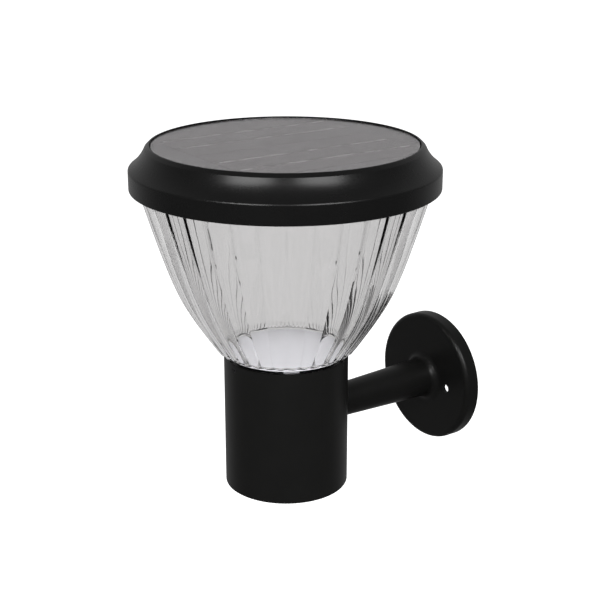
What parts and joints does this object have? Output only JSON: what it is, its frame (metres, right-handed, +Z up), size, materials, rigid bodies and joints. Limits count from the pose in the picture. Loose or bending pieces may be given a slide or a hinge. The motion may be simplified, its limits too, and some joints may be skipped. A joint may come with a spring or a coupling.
{
  "type": "fence light",
  "caption": "Solar fence light: flared ribbed clear shade under a round black cap with a solar panel on top, on a short tube held off the wall by an arm.",
  "frame": {"origin": "middle of the wall plate's back, on the wall", "axes": "+Y into the wall, +Z up, +X to the right for someone who faces the wall"},
  "size_m": [0.1836, 0.2142, 0.2151],
  "materials": {
    "black_moulding": "semi-gloss moulded",
    "black_tube": "semi-gloss extruded",
    "black_cap": "semi-gloss moulded",
    "steel": "zinc plated",
    "black_steel": "blackened",
    "contact_steel": "nickel plated",
    "clear_shade": "clear polished",
    "white_reflector": "glossy white",
    "adhesive": "cured adhesive",
    "panel_backing": "matte black",
    "solar_cell": "dark blue-black",
    "ribbon": "tinned",
    "panel_glaze": "clear glossy",
    "black_rubber": "matte",
    "white_board": "white solder mask",
    "led_yellow": "phosphor",
    "frosted_cover": "frosted",
    "cell_wrap": "shrink wrap over a can",
    "holder_black": "moulded",
    "green_board": "green solder mask",
    "board_parts_black": "moulded",
    "switch_black": "moulded",
    "button_red": "moulded",
    "lead_red": "insulated wire",
    "lead_white": "insulated wire",
    "lead_blue": "insulated wire"
  },
  "bodies": {
    "lamp_body": {"tube": "black_tube", "tube_end_cap": "black_moulding", "shade": "clear_shade", "reflector_disc": "white_reflector", "set_screws": "black_steel", "wall_bracket": "black_moulding", "arm_screws": "steel", "arm_saddle": "steel"},
    "cap": {"cap_shell": "black_cap", "panel_adhesive": "adhesive", "panel_board": "panel_backing", "solar_cells": "solar_cell", "busbars": "ribbon", "panel_cover": "panel_glaze", "cap_base": "black_moulding", "cap_seal": "black_rubber", "base_gasket": "black_rubber", "base_screws": "steel", "led_board": "white_board", "led_chips": "led_yellow", "led_screws": "steel", "led_cover": "frosted_cover", "battery_cell": "cell_wrap", "battery_holder": "holder_black", "battery_contacts": "contact_steel", "driver_board": "green_board", "board_screws": "steel", "board_parts": "board_parts_black", "switch_body": "switch_black", "button_spring": "contact_steel", "switch_seal": "black_rubber", "switch_nut": "steel", "lead_grommets": "black_rubber", "panel_leads": "lead_red", "led_leads": "lead_white", "battery_leads": "lead_red", "switch_leads": "lead_blue"},
    "button": {"switch_button": "button_red"}
  },
  "joints": [
    {"name": "cap_twist", "type": "hinge", "parent": "lamp_body", "child": "cap", "pos_m": [0, -0.1225, 0.1535], "axis": [0, 0, 1], "range_deg": [0, 30]},
    {"name": "button_press", "type": "slide", "parent": "cap", "child": "button", "axis": [0, 0, 1], "range_m": [0, 0.0015], "stiffness_N_per_m": 400, "springref_m": -0.002, "deforming": ["button_spring"]}
  ]
}
